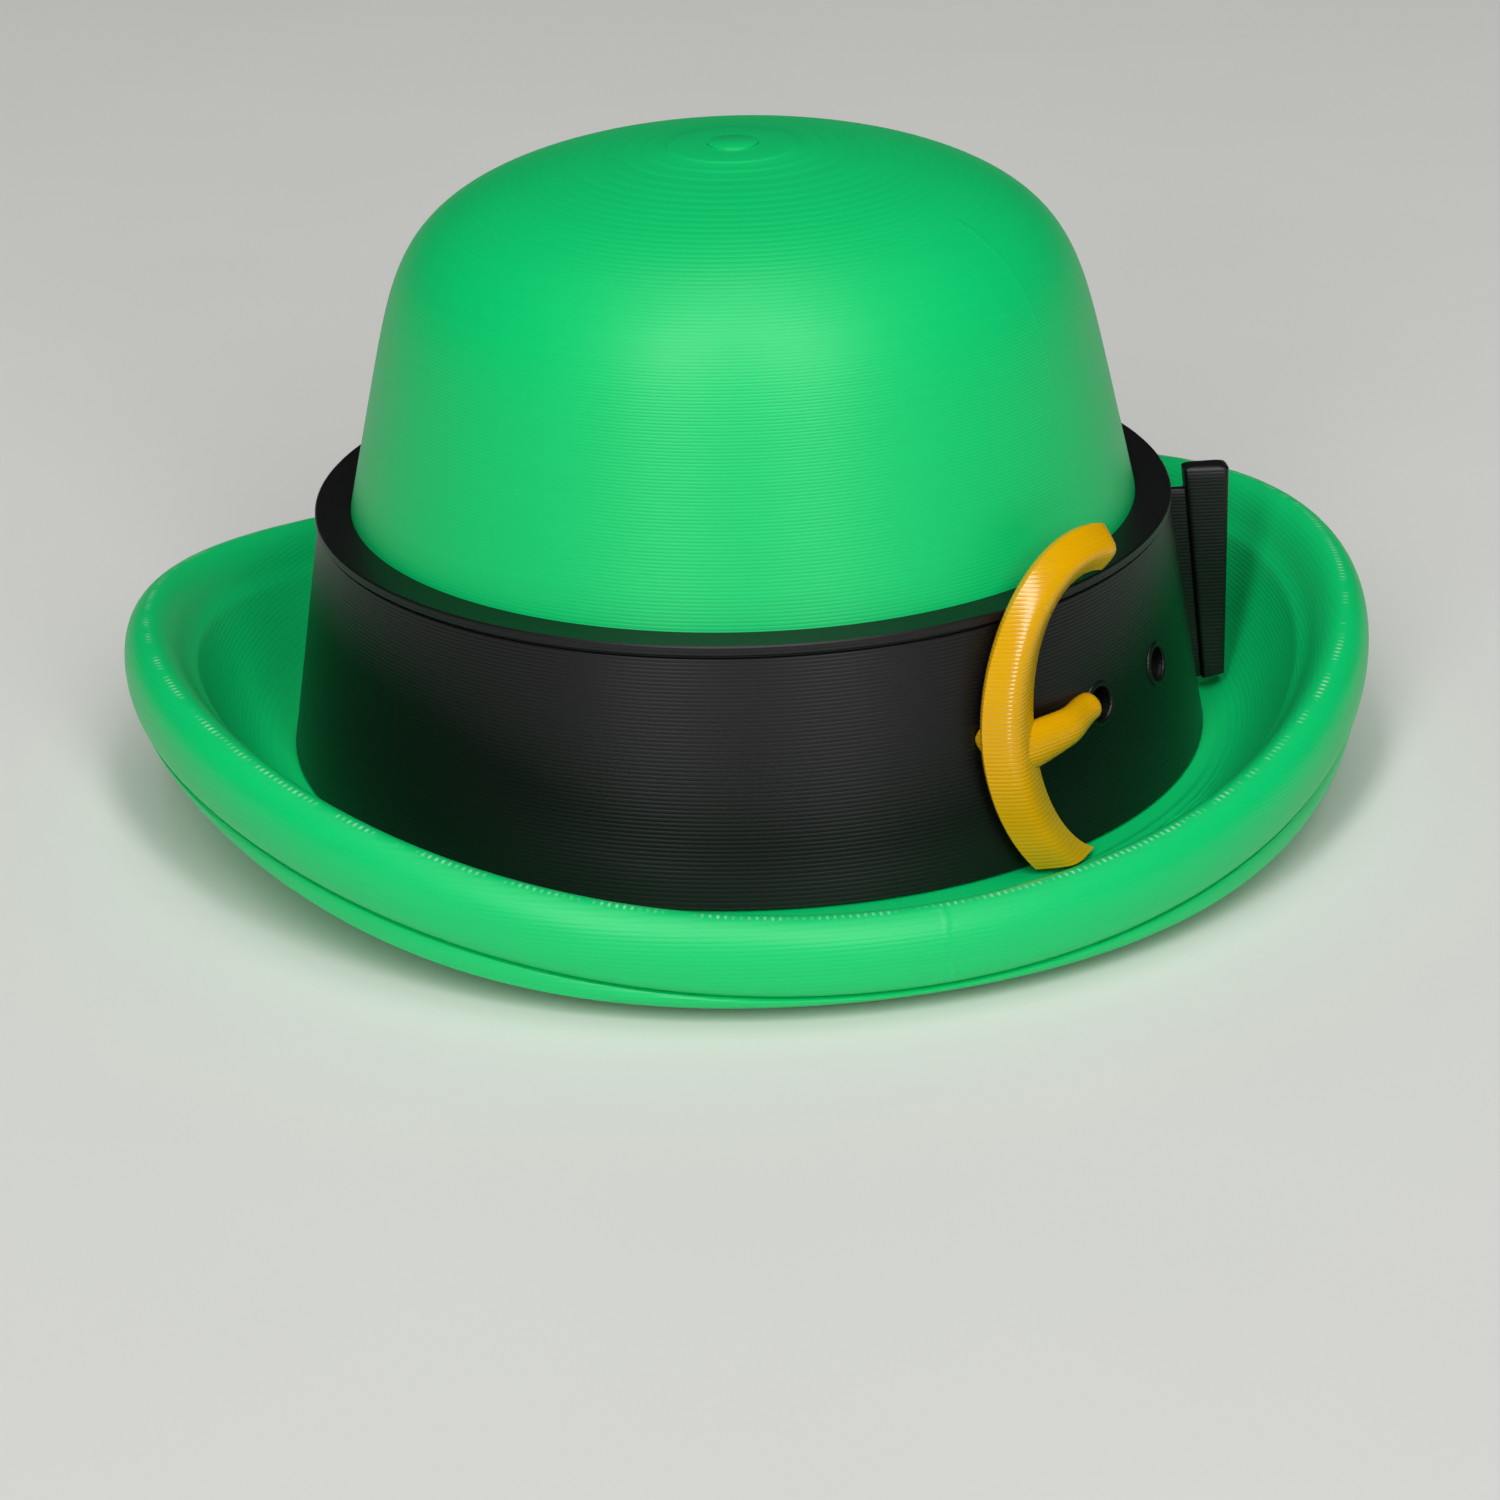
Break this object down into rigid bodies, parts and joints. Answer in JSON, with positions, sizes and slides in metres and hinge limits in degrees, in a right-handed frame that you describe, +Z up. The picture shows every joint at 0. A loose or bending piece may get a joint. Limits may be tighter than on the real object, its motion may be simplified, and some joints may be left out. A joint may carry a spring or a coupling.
{
  "type": "miniature bowler hat",
  "caption": "Small printed bowler hat ornament: hollow round crown, rolled brim raised at the sides, belt band with a loose tail, and a C-shaped buckle whose tongue sits in a belt hole.",
  "frame": {"origin": "on the crown's axis, at the height of the surface that the brim stands on", "axes": "+Z up along the crown's axis, -Y towards the low front of the brim, X to the raised sides of the brim"},
  "size_m": [0.0598, 0.0598, 0.0307],
  "materials": {
    "green_print": "satin green PLA with fine printed layers",
    "black_print": "satin black PLA with fine printed layers",
    "yellow_print": "glossy golden yellow PLA with printed layers"
  },
  "bodies": {
    "root": {"hat_body": "green_print", "belt": "black_print", "buckle": "yellow_print"}
  },
  "joints": []
}
